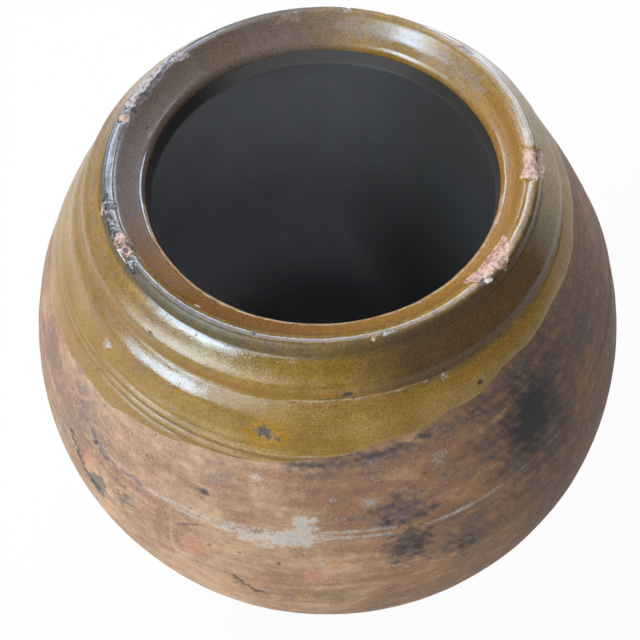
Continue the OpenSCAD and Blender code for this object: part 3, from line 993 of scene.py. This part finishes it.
# Marks on the bare clay by shape and stain, at (angle in degrees, distance in mm down the skin from the lip's
# crest). The side that the photograph doesn't show carries the same kinds of mark
CLAY_MARKS = marks(Patch, {
    Stain.LIME: ((((-112, 114), (-104, 108), (-100, 108), (-98, 102), (-97.5, 97), (-95.5, 92),
                 (-92.5, 98), (-93, 107), (-90.5, 111), (-93.5, 117), (-95, 124), (-97, 119.5),
                 (-103.5, 123), (-110, 118)), 5.0, 1.0, 0.5),
                (((-86, 86), (-84, 85), (-82.5, 91), (-85, 93)), 3.0, 0.8, 0.5),),
    Stain.SOOT: ((((-52, 64), (-47.5, 84), (-47.5, 101), (-49, 102), (-53.5, 86), (-54, 68)),
                 12.0, 1.0, 0.15),
                (((-54, 88), (-51, 99), (-51, 106), (-54, 108), (-56.5, 97)), 9.0, 0.7, 0.5),
                (((-80.5, 113), (-78.5, 123), (-76, 124), (-75, 135), (-76.5, 138), (-80, 130)),
                 6.0, 1.2, 0.5),
                (((-70.5, 139), (-68, 141), (-68, 152), (-70, 151)), 4.0, 1.0, 0.5),),
    Stain.DUSK: ((((-81.5, 106), (-79.5, 100), (-77, 98), (-73, 101.5), (-73.5, 104), (-79, 107)),
                 2.0, 1.0, 0.4, 0.5),
                (((-88, 95.5), (-82, 97), (-80.5, 89), (-75.5, 79), (-71, 102), (-73, 108), (-82, 116)),
                 8.0, 0.8, 0.5),
                (((-143, 97), (-138, 104), (-132, 111.5), (-124.5, 109), (-125, 113), (-133, 119.5),
                 (-137, 117), (-141, 108)), 4.0, 0.9, 0.7),),
    Stain.FLAKE: ((((-141, 137), (-138.5, 127.5), (-137, 129.5), (-138.5, 142.5), (-140.5, 146)),
                 2.0, 1.0, 0.3, 0.7),),
    Stain.MOSS: ((((-139, 149), (-135, 135), (-133.5, 144), (-134.5, 160), (-136.5, 163.5),
                 (-138.5, 158.5)), 2.0, 1.5, 0.5),),
}) + marks(Stroke, {
    Stain.LIME: ((((-124, 113.0), (-116, 110.6), (-105, 110.2)), 1.6, 0.6, 0.3),
                (((-118, 115.5), (-110, 114.0), (-103, 113.6)), 2.0, 0.6, 0.4),
                (((-93, 107.6), (-86, 107.8), (-80, 109.3)), 1.5, 0.75, 0.2),
                (((-93, 111.2), (-86, 111.6), (-81, 112.4)), 1.3, 0.6, 0.25),
                (((-75, 112.6), (-71, 112.8), (-66, 112.2)), 1.1, 0.65, 0.3),
                (((-65, 112.2), (-56, 111.0), (-45, 111.5)), 1.0, 0.35, 0.3),
                (((-115.6, 89.2), (-112.5, 91.0)), 0.9, 0.6, 0.2),),
    Stain.FLAKE: ((((-47.6, 84), (-46.4, 92), (-46.6, 97)), 1.4, 0.7, 0.6),),
    Stain.SOOT: ((((-81.5, 106.5), (-78.5, 107.3), (-76.0, 105.5), (-72.5, 103.0)), 1.6, 0.5, 0.6),
                (((-97, 64.5), (-92.0, 64.0), (-87.0, 62.0), (-80.0, 60.0), (-72.0, 58.0)),
                 2.4, 0.45, 0.4),
                (((-68, 79.5), (-62, 77.0), (-57, 77.5)), 0.9, 0.5, 0.3),
                (((-144.5, 130), (-141.5, 147), (-139.5, 152), (-136.5, 155)), 4.0, 0.9, 0.5),
                (((-137.8, 110), (-135.6, 114.5), (-132.5, 116.5)), 1.8, 0.6, 0.7),
                (((-117.6, 127.6), (-113.0, 119.0)), 1.3, 0.6, 0.4, 0.4),
                (((-117.0, 133.5), (-116.6, 137.5)), 0.9, 0.6, 0.2),
                (((-107.5, 160), (-105.4, 167), (-103.9, 173), (-101.8, 174)), 2.1, 0.95, 0.4, 0.4),),
    Stain.DUSK: ((((-98, 64.5), (-92, 65), (-81, 60.5), (-63, 57.5), (-48.5, 53), (-30, 50)),
                 4.5, 0.9, 0.5),
                (((-140, 119), (-135, 124.5), (-129, 127)), 3.0, 0.6, 0.6),),
    Stain.PALE: ((((-119.2, 128), (-119.0, 150), (-117.5, 165), (-112, 172)), 1.5, 0.9, 0.2, 0.5),),
    Stain.MOSS: ((((-102, 173), (-96, 171)), 3.0, 0.6, 0.4),),
}) + marks(Mark, {
    Stain.LIME: ((-92.5, 133, 4, 2.5, 0, 0.6, 0.4), (-92.8, 124, 3, 2, 0, 0.5, 0.4),
                (-83.8, 88.5, 6, 3.5, 10, 0.5, 0.4), (-70.1, 74.1, 5, 4, 0, 0.3, 0.4),
                (-104.3, 75.0, 3.2, 2.8, 0, 0.8, 0.3, 0.3), (68, 131, 17, 7, 5, 0.8, 0.4),
                (112, 108, 24, 3, 2, 0.6, 0.4),),
    Stain.SOOT: ((-50.6, 84, 25, 36, 8, 1.3, 0.15), (-50, 88, 34, 52, 12, 0.55, 0.2),
                (-81.3, 104, 3.5, 4, 0, 0.8, 0.5), (-78.2, 125, 14, 17, 0, 0.7, 0.4),
                (-69, 143, 10, 12, 0, 0.6, 0.4), (-79.5, 93, 16, 9, -20, 0.45, 0.4),
                (-62.5, 58.2, 4, 3.5, 0, 0.6, 0.4), (-111.7, 134.5, 1.6, 2.2, 30, 0.9, 0.2),
                (-113.3, 93.4, 6, 2.6, 14, 0.7, 0.4, 0.2), (-125.4, 89.7, 1.5, 1.4, 0, 1.0, 0.1, 0.2),
                (-106.6, 132.6, 2.2, 1.8, 0, 0.8, 0.3), (-99.7, 135, 1.6, 2.2, 0, 0.8, 0.3),
                (21, 96, 13, 9, 20, 0.7, 0.4), (-160, 240, 18, 12, 0, 0.5, 0.4),),
    Stain.DUSK: ((-49, 84, 44, 52, 15, 1.0, 0.3), (-78, 127, 22, 22, 0, 0.9, 0.4),
                (-67, 134, 24, 24, 0, 0.8, 0.4), (-70.5, 117, 30, 6, -4, 0.7, 0.5),
                (-91.5, 71, 9, 7, -30, 0.8, 0.4), (-30, 76, 40, 22, 0, 0.7, 0.6),
                (-142, 98, 20, 30, -15, 0.6, 0.4), (-157, 112, 30, 26, 0, 0.55, 0.3),
                (-148, 132, 26, 28, 0, 0.6, 0.3), (-110.5, 80, 14, 10, 10, 0.45, 0.4),
                (-98, 148, 12, 6, 0, 0.5, 0.4), (24, 98, 34, 24, 10, 0.6, 0.4),
                (131, 170, 40, 22, -15, 0.6, 0.4), (-90, 330, 60, 40, 10, 0.5, 0.4),
                (80, 310, 70, 36, 0, 0.5, 0.4),),
    Stain.MOSS: ((-129, 139, 8, 14, 15, 0.9, 0.6), (-91, 172, 22, 7, 0, 0.45, 0.4),
                (-12, 190, 26, 16, 0, 0.5, 0.4),),
    Stain.FLAKE: ((-114.6, 142, 10, 12, 0, 0.7, 0.3, 0.4), (-104.9, 131, 3.5, 3.5, 0, 0.8, 0.2, 0.4),
                (-94.3, 146, 8.5, 6.5, 0, 0.7, 0.4), (146, 152, 6, 8, 0, 0.9, 0.3, 0.7),
                (52, 205, 8, 5, 10, 0.8, 0.3, 0.6),),
    Stain.BARE: ((-56.5, 205, 6, 4, 0, 1.0, 0.3, 1.8),),
})

# Chips and spots on the glaze with painted glints, its pale turn into the throat, partly glaze thinned over
# the edge and partly a painted highlight, and the crack along the groove's ledge
GLAZE_MARKS = marks(Patch, {
    Stain.BARE: ((((-2, -3.5), (-3.5, -0.5), (-0.5, 10.5), (-9.5, 9), (-14, -2), (-11.5, -6)),
                 2.0, 1.0, 0.5, 1.1),
                (((-32, -9.5), (-32.5, -3.5), (-41.5, 4), (-44, 0.5), (-49, 1), (-51.5, -4.5),
                 (-51, -9.5)), 1.6, 1.0, 0.4, 0.8),),
    Stain.WORN: ((((139.5, 1.5), (144, 3.5), (155, 3.5), (160, 1), (158.5, -2), (153, -3), (142, -1.5)),
                 2.0, 1.0, 0.5, 0.9),),
}) + marks(Stroke, {
    Stain.PIT: ((((-151.4, -1.6), (-150.0, -3.4), (-147.4, -2.6)), 0.7, 0.9, 0.4, 0.3),
                (((160, -3), (152.5, -3), (144, -2), (141, -1)), 0.9, 1.0, 0.8, 0.4),
                (((-92, 28.6), (-84, 28.4), (-72, 28.6), (-62, 29.2), (-50, 29.4)), 0.45, 0.45, 0.8),),
    Stain.GLINT: ((((-152.0, 2.6), (-147.0, 3.4), (-145.4, 0.6)), 0.5, 0.6, 0.6),),
    Stain.WORN: ((((-77.6, 0.5), (-74.0, 0.4)), 0.8, 0.9, 0.7, 0.3),),
    Stain.BUFF: ((((78, -9.5), (55, -10.5), (28, -10.5)), 8.0, 0.35, 0.4),),
    # The first two pale strokes along the throat's edge are partly thin glaze and partly a painted highlight
    Stain.PALE: ((((-168, -18.6), (-140, -18.2), (-120, -17.4), (-100, -17.3)), 1.3, 1.0, 0.3),
                (((-100, -17.3), (-80, -17.2), (-50, -17.4), (-15, -18.4)), 1.3, 0.4, 0.3),
                (((-98, 29.6), (-90, 29.4), (-80, 29.2), (-70, 29.4)), 0.9, 0.3, 0.5),),
}) + marks(Mark, {
    Stain.PIT: ((-5.6, 4.0, 3.4, 1.3, 40, 0.6, 0.5), (-9.5, 6.5, 2.0, 1.2, -20, 0.6, 0.5),
                (-41.0, 2.6, 2.4, 0.8, 30, 0.6, 0.6), (-48.6, 0.6, 1.4, 1.0, 0, 0.8, 0.4),
                (-149.6, 0.6, 1.4, 1.1, 0, 0.7, 0.4), (-107.2, -0.6, 1.2, 1.0, 0, 0.5, 0.2, 0.3),
                (-102.7, 47.9, 4.2, 3.2, 0, 0.8, 0.3, 0.25), (-100.2, 50.2, 2.0, 0.9, 25, 0.7, 0.3),
                (-131.1, 21.8, 1.8, 1.6, 0, 0.7, 0.3, 0.4), (-86.5, 26.2, 2.4, 1.5, -20, 1.0, 0.3, 0.5),
                (-59.1, 43.0, 1.8, 1.4, 0, 0.9, 0.3, 0.4), (-53.0, 46.5, 2.2, 1.2, 20, 0.9, 0.3, 0.4),),
    Stain.GLINT: ((-46.8, 2.0, 1.8, 0.9, 20, 0.7, 0.6, 0.3),),
    Stain.CHAR: ((-165.4, 3.2, 5.0, 4.4, 0, 1.0, 0.35, 0.7), (-158.2, 3.0, 6.4, 4.6, 0, 1.0, 0.35, 0.7),
                (-144.6, 2.4, 4.4, 3.0, 0, 0.8, 0.4, 0.3),),
    Stain.BARE: ((-166.6, 6.6, 3.6, 3.4, 0, 1.0, 0.4, 0.6), (-153.6, 0.4, 3.6, 3.0, 0, 1.0, 0.3, 0.7),
                (-149.2, -0.2, 3.8, 3.0, 0, 1.0, 0.2, 1.0), (164.0, -1.1, 2.6, 2.4, 0, 1.0, 0.2, 0.6),
                (-124.2, -4.9, 1.5, 1.4, 0, 0.9, 0.2, 0.4), (-79.4, 0.8, 1.5, 0.8, -20, 0.9, 0.4, 0.3),),
    Stain.WORN: ((135.5, -1.5, 4.6, 2.4, 0, 1.0, 0.4, 0.6), (78.8, 0.8, 4.0, 2.4, 0, 1.0, 0.4, 0.8),
                (66.0, 1.4, 2.4, 1.6, 0, 1.0, 0.4, 0.5), (38.0, 2.0, 5.0, 2.0, 0, 0.8, 0.5, 0.5),
                (-101.2, 48.0, 0.9, 1.4, 0, 0.9, 0.3), (-141.4, 48.1, 2.4, 3.6, 20, 0.8, 0.2, 0.3),
                (-66.2, 31.4, 1.6, 1.4, 0, 0.9, 0.3, 0.3),),
    Stain.BUFF: ((97.0, -3.0, 8.5, 2.4, 0, 1.2, 0.4, 0.3), (163.5, -15.0, 4.0, 1.2, -30, 0.3, 0.4, 0.5),),
    Stain.HALO: ((-102.5, 48.4, 12.5, 9.5, -8, 1.5, 0.1), (-141.4, 48.1, 7.0, 7.0, 0, 0.5, 0.3),),
})


@dataclass
class ClaySections:
    """The thrown and luted clay: base disc, walls, rim and the slip between them."""

    wheel: Wheel
    clay: Terracotta = Terracotta()
    steps: int = 600
    # Share of dark clay by angle from +X in degrees: partly fire and handling, partly painted shade that
    # darkens the side away from the window
    tones: tuple[tuple[float, float], ...] = (
        (-180, 0.45), (-160, 0.45), (-145, 0.38), (-130, 0.24), (-112, 0.22), (-98, 0.34), (-88, 0.48),
        (-75, 0.56), (-60, 0.72), (-45, 0.88), (-25, 0.88), (0, 0.7), (40, 0.5),
        (90, 0.42), (140, 0.4), (180, 0.45))

    def outlines(self) -> dict[str, tuple[Outline, bool]]:
        """Outlines of the seven clay pieces, each with whether it closes on itself."""
        f = FORM
        half_band, half_slip = f.band_w / 2, f.slip_t / 2
        band_low, band_high = f.seam_z - half_band, f.seam_z + half_band
        seam_low, seam_high = f.seam_z - half_slip, f.seam_z + half_slip
        groove_low, groove_high = f.groove_z - half_slip, f.groove_z + half_slip
        sweep_end = f.foot_inside[-1]
        slip_end = sweep_end - f.slip_t
        base = Outline()
        base.hidden((0.0, 0.0), (40.0, 0.0), (75.0, 0.0))
        base.skin((f.drop(0.0), f.drop(f.foot_round), f.drop(f.floor_t)), (1.0, 1.8), share=0.4)
        base.hidden(f.foot_key(f.floor_t), slip_end, (0.0, f.floor_t))
        base_slip = Outline()
        base_slip.skin((f.drop(f.floor_t), f.drop(f.wall_foot)), (0.8,), lift=-0.15, share=0.4)
        base_slip.hidden(f.foot_key(f.wall_foot), sweep_end, slip_end, f.foot_key(f.floor_t))
        lower = Outline()
        lower.skin((f.drop(f.wall_foot), f.drop(150.0), f.drop(238.0), f.drop(band_low)), (6.0, 3.5, 1.25))
        lower.hidden(f.key(band_low, seam_low))
        lower.skin((f.drop(seam_low, False), f.drop(40.0, False)), (16.0,), share=0.0)
        lower.hidden(*f.foot_inside[::13], sweep_end, f.foot_key(f.wall_foot))
        seam = Outline()
        seam.skin((f.drop(band_low), f.drop(f.seam_z), f.drop(band_high)), (0.6, 0.6))
        seam.hidden(f.key(band_high, seam_high), f.inside(seam_high), f.inside(seam_low),
                    f.key(band_low, seam_low))
        shoulder = Outline()
        shoulder.skin((f.drop(band_high), *f.ring_span, f.drop(groove_low)), (1.25, 0.42, 2.4))
        shoulder.hidden(f.key(groove_low, groove_low))
        shoulder.skin((f.drop(groove_low, False), f.drop(seam_high, False)), (12.0,), share=0.0)
        shoulder.hidden(f.key(band_high, seam_high))
        groove = Outline()
        groove.skin((f.drop(groove_low), f.drop(groove_high)), (0.8,))
        groove.hidden(f.key(groove_high, groove_high), f.inside(groove_high), f.inside(groove_low),
                      f.key(groove_low, groove_low))
        rim = Outline()
        rim.skin((f.drop(groove_high), 8.0, -24.0), (2.4, 1.3))
        rim.skin((-26.0, f.drop(groove_high, False)), (3.0,), share=0.0)
        rim.hidden(f.key(groove_high, groove_high))
        return {"base_disc": (base, False), "base_luting": (base_slip, True), "lower_wall": (lower, True),
                "shoulder_luting": (seam, True), "shoulder_wall": (shoulder, True),
                "collar_luting": (groove, True), "rim_collar": (rim, True)}

    def build(self) -> list[bpy.types.Object]:
        """Throw the seven pieces."""
        clay = self.clay.material("terracotta_thrown")
        slip = Terracotta(light="#c19b78", warm="#98704f", dark="#6d5242").material("luting_slip")
        rounds = {"base_disc": 240, "base_luting": 240, "collar_luting": 400, "rim_collar": 480}
        pieces = []
        for name, (outline, closed) in self.outlines().items():
            finish = slip if name.endswith("luting") else clay
            steps = rounds.get(name, self.steps)
            pieces.append(self.wheel.throw(outline, name + "_look", steps, closed, finish))
        return pieces

    def dress(self, pieces: list[bpy.types.Object]) -> None:
        """Give the pieces their rings, dents and stains, and tie them to the frame."""
        for piece in pieces:
            name = piece.name.removesuffix("_look")
            skin = Surface(piece)
            skin.relief()
            if name == "shoulder_luting":
                away = np.abs(skin.drop - FORM.drop(FORM.seam_z))
                rise = np.clip(1 - away / (FORM.band_w / 2 + 0.3), 0.0, 1.0)
                skin.press(-FORM.band_h * np.sqrt(rise))
            skin.stamp(CLAY_MARKS)
            if name == "rim_collar":
                skin.stamp([replace(mark, dent=mark.dent * 1.3) for mark in GLAZE_MARKS if mark.dent])
            angles, tones = zip(*self.tones)
            skin.write(tone=np.interp(skin.angle, angles, tones))
            tie(piece, name)


def tie(piece: bpy.types.Object, node: str) -> None:
    """Turn a piece's faces outwards, tie it to the frame and report it.

    Args:
        piece: the finished piece.
        node: CAD node that it stands for.
    """
    mesh = piece.data
    mesh.calc_loop_triangles()
    corners = np.empty(3 * len(mesh.loop_triangles), dtype=np.int32)
    mesh.loop_triangles.foreach_get("vertices", corners)
    flat = np.empty(3 * len(mesh.vertices), dtype=np.float32)
    mesh.vertices.foreach_get("co", flat)
    a, b, c = np.moveaxis(flat.reshape(-1, 3).astype(float)[corners.reshape(-1, 3)], 1, 0)
    if np.einsum("ij,ij->", a, np.cross(b, c)) < 0:
        mesh.flip_normals()
    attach(piece, "root")
    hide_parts(node)
    log.info("%s stands for %s: %d triangles", piece.name, node, len(mesh.loop_triangles))


@dataclass
class GlazeCoats:
    """The olive glaze over rim and shoulder, and the grey glaze inside with its painted shade."""

    wheel: Wheel
    thick: float = 0.8
    liner: float = 0.6
    buried: float = 0.5
    sunk: float = 0.9
    lap: float = 1.6
    dip_z: float = 369.6
    dip_swing: float = 18.4
    dip_heading: float = -22.0
    lowest: float = 346.0
    end: float = -23.4
    steps: int = 600
    liner_steps: int = 280

    def build(self) -> list[bpy.types.Object]:
        """Throw the two coats."""
        f = FORM
        groove = f.drop(f.groove_z)
        olive = Outline()
        olive.skin((f.drop(self.lowest), *f.ring_span, groove + 2.5, groove - 2.5, 11.0, self.end),
                   (1.3, 0.45, 1.5, 0.6, 1.4, 0.85))
        olive.skin((self.end, 11.0, f.drop(self.lowest)), (1.7, 6.0), lift=-self.sunk)
        finish = OliveGlaze().material("olive_lead_glaze")
        outer = self.wheel.throw(olive, "outer_glaze_look", self.steps, True, finish)
        shaded_liner = Outline()
        top, low = self.end + self.lap, float(f.skin[0][-1])
        shaded_liner.skin((top, -60.0, low + 100, low), (1.6, 6.0, 9.0), lift=self.liner, share=0.35)
        shaded_liner.skin((low, -60.0, top), (24.0, 8.0), lift=-0.6, share=0.35)
        finish = LinerGlaze().material("liner_glaze_painted_shade")
        inner = self.wheel.throw(shaded_liner, "inner_glaze_look", self.liner_steps, False, finish)
        return [outer, inner]

    def dress(self, pieces: list[bpy.types.Object]) -> None:
        """Let the olive glaze end at its dip line, pool and chip, and tie both coats to the frame."""
        outer, inner = pieces
        skin = Surface(outer)
        skin.relief()
        waver = Lumps(40.0, 31).at(skin.rest) * 0.9 + Lumps(9.0, 32).at(skin.rest) * 0.18
        line_z = self.dip_z + self.dip_swing * skin.facing(self.dip_heading)
        heights = np.linspace(340.0, 399.0, 60)
        line_drop = np.interp(line_z, heights, [FORM.drop(z) for z in heights])
        above = line_drop + waver - skin.drop
        coat = self.thick * (1 - np.exp(-np.clip(above, 0.0, None) / 1.5))
        coat += np.clip(above * 0.45, -self.buried, 0.0)
        coat *= skin.step(self.end - 0.5, self.end + 5.0)
        skin.place += skin.out * (coat * self.is_face(skin))[:, None]
        skin.stamp(GLAZE_MARKS)
        skin.write(**self.washes(skin, FORM.drop(FORM.groove_z)))
        tie(outer, "outer_glaze")
        lining = Surface(inner)
        lining.widen()
        # Painted shade darkens the throat band (most towards the back right), the right side of the inside,
        # which the window lights, and the floor
        throat = 0.66 + 0.34 * smooth(-0.1, 0.95, lining.facing(50))
        side = 0.85 * smooth(0.7, 1.02, lining.facing(40))
        floor = 0.8 * lining.step(-345.0, -430.0)
        smoke = np.max([throat * lining.step(-38.0, -30.0), side, floor], axis=0)
        # Less painted shade on the throat's lower edge: a painted light over the shade it catches as it turns
        # down
        smoke *= 1 - 0.16 * lining.near(-31.4, 1.5)
        # The throat's sides are darker, browner at the right
        across = lining.facing(0)
        run = smooth(0.4, 0.8, np.abs(across)) * lining.step(-36.0, -28.0)
        lining.write(smoke=smoke, run=0.85 * run, warm=smooth(-0.3, 0.5, across))
        tie(inner, "inner_glaze")

    def is_face(self, skin: Surface) -> np.ndarray:
        """Which points belong to the coat's outer face: those that aren't lowered into the clay."""
        place, out = FORM.at(skin.drop)
        away = np.hypot(skin.rest[:, 0], skin.rest[:, 1]) - place[:, 0]
        rise = skin.rest[:, 2] - place[:, 1]
        return (away * out[:, 0] + rise * out[:, 1] > -self.sunk / 2 - 1e-3).astype(float)

    @staticmethod
    def washes(skin: Surface, groove: float) -> dict[str, np.ndarray]:
        """How much of each tone the glaze shows, and where it is dull or glossy.

        Args:
            skin: the coat's surface.
            groove: distance along the skin to the groove under the collar, in mm.
        Returns:
            Values by attribute name.
        """
        right, left = skin.facing(-25), skin.facing(-165)
        funnel = skin.step(-1.0, -4.5)
        # Amber pooled over and under the groove; down the collar's left flank the amber is painted shade,
        # darkening the side that the window lights
        over = skin.near(groove - 4.0, 2.6) * np.clip(0.2 + 0.7 * skin.facing(-80), 0.0, 0.8)
        over *= smooth(0.4, 0.8, skin.facing(-112))
        under = skin.near(groove + 4.5, 3.2) * np.clip(0.8 * right, 0.0, 0.7)
        left_flank_shade = 0.45 * smooth(0.5, 0.9, skin.facing(-168)) * skin.step(9.0, 14.0)
        # Honey and russet line the funnel
        back = smooth(0.2, 0.95, skin.facing(80))
        honey = funnel * np.clip(0.8 + 0.2 * right, 0.0, 1.0) * (1 - 0.7 * back)
        russet = 0.7 * funnel * smooth(0.5, 0.95, skin.facing(-135))
        # Soil greys the lip's far left and the collar's left; on the collar's right a pale olive-grey is
        # partly dust and partly a painted sheen
        lip = skin.step(5.0, 0.0) * smooth(0.1, 0.85, skin.facing(142))
        soil = 0.28 * smooth(0.5, 0.9, left) * skin.step(9.0, 13.0) * skin.step(48.0, 40.0)
        dust_and_sheen = 0.6 * skin.step(5.0, 10.0) * skin.step(30.0, 23.0) * smooth(0.78, 0.98, skin.facing(2))
        # The collar is brown at the front right, and the bead's side is slate
        shaded = smooth(0.72, 0.96, skin.facing(-48))
        brown = skin.step(groove + 5, groove - 4) * shaded * skin.step(-1.0, 3.0)
        slate = skin.step(-3.0, -0.5) * skin.step(11.5, 7.5) * np.clip(0.45 + 0.55 * left, 0.1, 1.0)
        # Hands rubbed the front of the lip and its far crest dull, the roll is boiled, and dirt lies under it
        face = skin.step(0.8, 2.0) * skin.step(8.8, 7.0) * smooth(0.0, 0.5, skin.facing(-105))
        crest = skin.step(-5.0, -2.0) * skin.step(5.0, 2.0) * smooth(0.75, 0.95, skin.facing(84))
        boiled, dirt = skin.near(18.0, 4.5), skin.near(groove - 3.0, 3.5)
        weather = skin.step(7.0, 10.0) * np.maximum(0.6 * smooth(0.1, 0.7, skin.facing(-20)),
                                                    0.4 * smooth(0.4, 0.9, skin.facing(175)))
        # Only one clear place shows the window in the far funnel, and the rings are dry
        clear = np.exp(-((skin.angle - 58) / 9) ** 2)
        misty = funnel * smooth(0.45, 0.8, skin.facing(62)) * (0.7 - 0.62 * clear)
        dry = 0.45 * skin.step(groove + 17, groove + 22)
        # The swell under the groove is scuffed at the front, and the lip's far right is weathered
        scuffed = 0.78 * skin.near(groove + 9.0, 7.0)
        scuffed *= smooth(-118.0, -98.0, skin.angle) * smooth(-60.0, -85.0, skin.angle)
        behind = 0.9 * skin.step(1.0, 3.0) * smooth(0.85, 0.97, skin.facing(62))
        # The funnel's hollow is rubbed at both sides, so only its lower edge shines there
        aside = smooth(0.55, 0.8, np.abs(skin.facing(0)))
        hollow = 0.85 * aside * skin.step(-2.5, -5.0) * skin.step(-17.0, -15.0)
        dull = np.max([0.9 * face, 0.9 * crest, 0.45 * boiled, 0.8 * dirt, weather, misty, dry, scuffed,
                       behind, hollow], axis=0)
        return {"amber": np.max([over, under, left_flank_shade], axis=0), "honey": honey, "russet": russet,
                "umber": np.maximum(lip, soil), "dust_and_sheen": dust_and_sheen, "brown": brown, "slate": slate, "dull": dull,
                "gloss": skin.step(-11.0, -14.0)}


class Reach(Enum):
    """What a light does: light the surfaces, or show in the glaze."""

    FILL = (True, False)
    GLARE = (False, True)


@dataclass(frozen=True)
class Lamp:
    """A soft rectangular light that faces the jar's shoulder.

    Its place is its heading from +X and its height above the horizon in degrees. Its size, its distance and
    the height that it aims at are in metres, its power is in watts, its colour is linear, and its tilt is
    the turn of its long side out of the level in degrees.
    """

    name: str
    place: tuple[float, float]
    size: tuple[float, float]
    power: float
    colour: tuple[float, float, float] = (0.9, 0.95, 1.0)
    tilt: float = 0.0
    reach: Reach = Reach.GLARE
    away: float = 1.6
    aim: float = 0.38

    def hang(self) -> None:
        """Put the light into the scene."""
        lamp = bpy.data.lights.new(self.name, "AREA")
        lamp.shape, lamp.size, lamp.size_y = "RECTANGLE", *self.size
        lamp.energy, lamp.color = self.power, self.colour
        a, e = (math.radians(turn) for turn in self.place)
        way = Vector((math.cos(e) * math.cos(a), math.cos(e) * math.sin(a), math.sin(e)))
        light = bpy.data.objects.new(self.name, lamp)
        light.matrix_world = (Matrix.Translation(Vector((0, 0, self.aim)) + self.away * way)
                              @ way.to_track_quat("Z", "Y").to_matrix().to_4x4()
                              @ Matrix.Rotation(math.radians(self.tilt), 4, "Z"))
        light.visible_diffuse, light.visible_glossy = self.reach.value
        bpy.context.scene.collection.objects.link(light)


LAMPS: tuple[Lamp, ...] = (
    Lamp("window", (-146.0, 30.0), (0.8, 1.2), 22.0, reach=Reach.FILL),
    Lamp("sky", (98.0, 43.0), (2.6, 0.5), 34.0, reach=Reach.FILL),
    Lamp("bounce", (-90.0, 35.0), (2.2, 0.5), 7.5, reach=Reach.FILL),
    Lamp("window_glass", (-151.0, 27.0), (0.8, 1.1), 44.0, (0.55, 0.76, 1.0)),
    Lamp("window_side", (-140.0, 27.0), (1.5, 1.0), 20.0, (0.6, 0.78, 1.0)),
    Lamp("window_edge", (-113.0, 27.0), (0.6, 0.8), 5.0, (1.0, 0.88, 0.74)),
    Lamp("window_pane", (-148.0, 47.5), (0.42, 0.42), 7.5, (0.5, 0.8, 1.0)),
    Lamp("sky_left", (131.0, 18.0), (1.6, 0.22), 11.0, (0.52, 0.7, 1.0), 41.0),
    Lamp("sky_middle", (92.0, 45.0), (1.8, 0.35), 28.0, (0.64, 0.76, 1.0)),
    Lamp("sky_high", (90.0, 70.0), (1.8, 0.8), 22.0, (0.7, 0.76, 1.0)),
    Lamp("sky_right", (56.0, 10.0), (1.5, 0.32), 20.0, (0.58, 0.72, 1.0), -41.0),
    Lamp("sky_end", (24.0, 45.0), (0.55, 0.3), 2.0, (0.62, 0.72, 1.0), -41.0))


@dataclass
class Studio:
    """Paper floor, a soft window at the left, open sky behind the jar, weak fill and the camera."""

    eye: tuple[float, float, float] = (0.0, -223.0, 668.2)
    ahead: tuple[float, float, float] = (-0.0096, 0.4588, -0.8885)
    right: tuple[float, float, float] = (0.9988, -0.0388, -0.0308)
    lens: float = 36.56
    sensor: float = 36.0
    fill: float = 0.13
    floor_reach: float = 6.0

    def build(self) -> None:
        """Make the camera, the floor and the light."""
        scene = bpy.context.scene
        lens = bpy.data.cameras.new("camera")
        lens.lens, lens.sensor_width, lens.sensor_fit = self.lens, self.sensor, "HORIZONTAL"
        camera = bpy.data.objects.new("camera", lens)
        ahead, right = Vector(self.ahead).normalized(), Vector(self.right).normalized()
        up = right.cross(ahead).normalized()
        turn = Matrix((right, up, -ahead)).transposed().to_4x4()
        camera.matrix_world = Matrix.Translation(Vector(self.eye) * MM) @ turn
        scene.collection.objects.link(camera)
        scene.camera = camera
        paper = bpy.data.meshes.new("paper_floor")
        far = self.floor_reach
        corners = [(-far, -far, 0), (far, -far, 0), (far, far, 0), (-far, far, 0)]
        paper.from_pydata(corners, [], [(0, 1, 2, 3)])
        floor = bpy.data.objects.new("paper_floor", paper)
        paper.materials.append(PaperFloor().material("studio_paper"))
        scene.collection.objects.link(floor)
        for lamp in LAMPS:
            lamp.hang()
        world = bpy.data.worlds.new("room")
        scene.world = world
        world.use_nodes = True
        world.node_tree.nodes.clear()
        # The room is white to the eye and only a weak fill to the jar
        node = partial(add, world.node_tree)
        seen = node("LightPath", out="Is Camera Ray")
        glow = node("MapRange", {"Value": seen, "To Min": self.fill, "To Max": 1.0})
        sky = node("Background", {"Color": (1.0, 0.98, 0.96, 1.0), "Strength": glow})
        node("OutputWorld", {"Surface": sky})
        scene.view_settings.view_transform = "Standard"


def main() -> None:
    """Build the scene in order: the studio, the clay pieces and the glaze coats."""
    logging.basicConfig(level=logging.INFO, format="%(message)s")
    Studio().build()
    wheel = Wheel()
    sections = ClaySections(wheel)
    sections.dress(sections.build())
    coats = GlazeCoats(wheel)
    coats.dress(coats.build())


if __name__ == "__main__":
    main()
